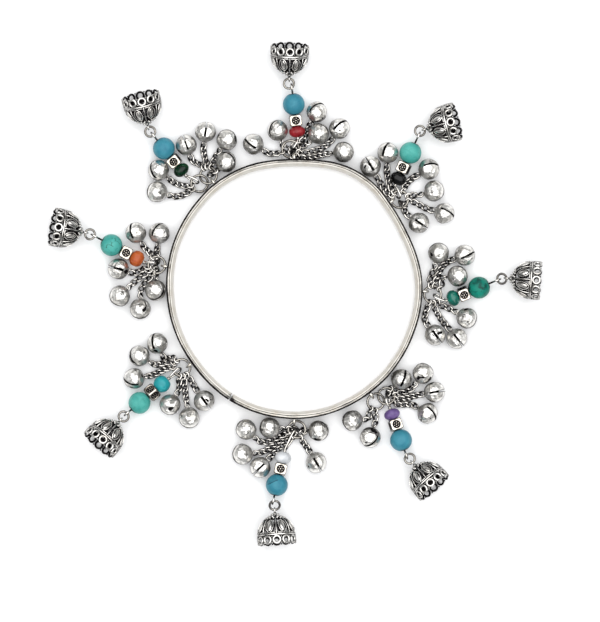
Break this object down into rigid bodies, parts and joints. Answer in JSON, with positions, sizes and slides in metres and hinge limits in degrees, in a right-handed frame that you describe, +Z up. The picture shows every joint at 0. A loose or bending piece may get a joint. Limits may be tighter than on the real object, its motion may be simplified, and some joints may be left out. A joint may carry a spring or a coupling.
{
  "type": "bell bangle",
  "caption": "Silver-toned open bangle lying flat, hung all round with clusters of round jingle bells on short chains and bead drops that end in filigree caps.",
  "frame": {"origin": "middle of the wrist opening, on the surface the bangle rests on", "axes": "+Z up out of the surface, along the axis of the wrist opening; +Y toward the top cluster of the picture"},
  "size_m": [0.1286, 0.1313, 0.0105],
  "materials": {
    "band_metal": "polished silver alloy, darkened in the corners",
    "wire_metal": "bright round wire, soldered",
    "chain_metal": "bright fine curb chain, dark between the links",
    "bell_metal": "polished, slightly lumpy",
    "cube_metal": "warm antique silver with blackened medallions",
    "filigree_metal": "antiqued silver, black in the recesses",
    "red_glass": "glossy pressed glass",
    "black_glass": "glossy pressed glass",
    "sea_green_glass": "glossy pressed glass",
    "violet_glass": "glossy pressed glass",
    "milky_glass": "milky translucent pressed glass",
    "cyan_glass": "glossy round glass",
    "orange_glass": "glossy pressed glass",
    "bottle_green_glass": "glossy pressed glass",
    "blue_stone": "polished dyed stone with a few fine lines",
    "green_turquoise_stone": "polished dyed stone with dark specks",
    "deep_green_stone": "polished dyed stone with a dark patch"
  },
  "bodies": {
    "root": {"band": "band_metal", "jump_rings": "wire_metal", "bell_chains_1": "chain_metal", "bell_chains_2": "chain_metal", "bell_chains_3": "chain_metal", "bell_chains_4": "chain_metal", "bell_chains_5": "chain_metal", "bell_chains_6": "chain_metal", "bell_chains_7": "chain_metal", "bell_chains_8": "chain_metal", "jingle_bells_1": "bell_metal", "jingle_bells_2": "bell_metal", "jingle_bells_3": "bell_metal", "jingle_bells_4": "bell_metal", "jingle_bells_5": "bell_metal", "jingle_bells_6": "bell_metal", "jingle_bells_7": "bell_metal", "jingle_bells_8": "bell_metal", "drop_pin_1": "wire_metal", "drop_pin_2": "wire_metal", "drop_pin_3": "wire_metal", "drop_pin_4": "wire_metal", "drop_pin_5": "wire_metal", "drop_pin_6": "wire_metal", "drop_pin_7": "wire_metal", "drop_pin_8": "wire_metal", "accent_bead_1": "red_glass", "accent_bead_2": "black_glass", "accent_bead_3": "sea_green_glass", "accent_bead_4": "violet_glass", "accent_bead_5": "milky_glass", "accent_bead_6": "cyan_glass", "accent_bead_7": "orange_glass", "accent_bead_8": "bottle_green_glass", "cube_bead_1": "cube_metal", "cube_bead_2": "cube_metal", "cube_bead_3": "cube_metal", "cube_bead_4": "cube_metal", "cube_bead_5": "cube_metal", "cube_bead_6": "cube_metal", "cube_bead_7": "cube_metal", "cube_bead_8": "cube_metal", "stone_bead_1": "blue_stone", "stone_bead_2": "green_turquoise_stone", "stone_bead_3": "deep_green_stone", "stone_bead_4": "blue_stone", "stone_bead_5": "blue_stone", "stone_bead_6": "green_turquoise_stone", "stone_bead_7": "green_turquoise_stone", "stone_bead_8": "blue_stone", "filigree_cap_1": "filigree_metal", "filigree_cap_2": "filigree_metal", "filigree_cap_3": "filigree_metal", "filigree_cap_4": "filigree_metal", "filigree_cap_5": "filigree_metal", "filigree_cap_6": "filigree_metal", "filigree_cap_7": "filigree_metal", "filigree_cap_8": "filigree_metal"}
  },
  "joints": []
}
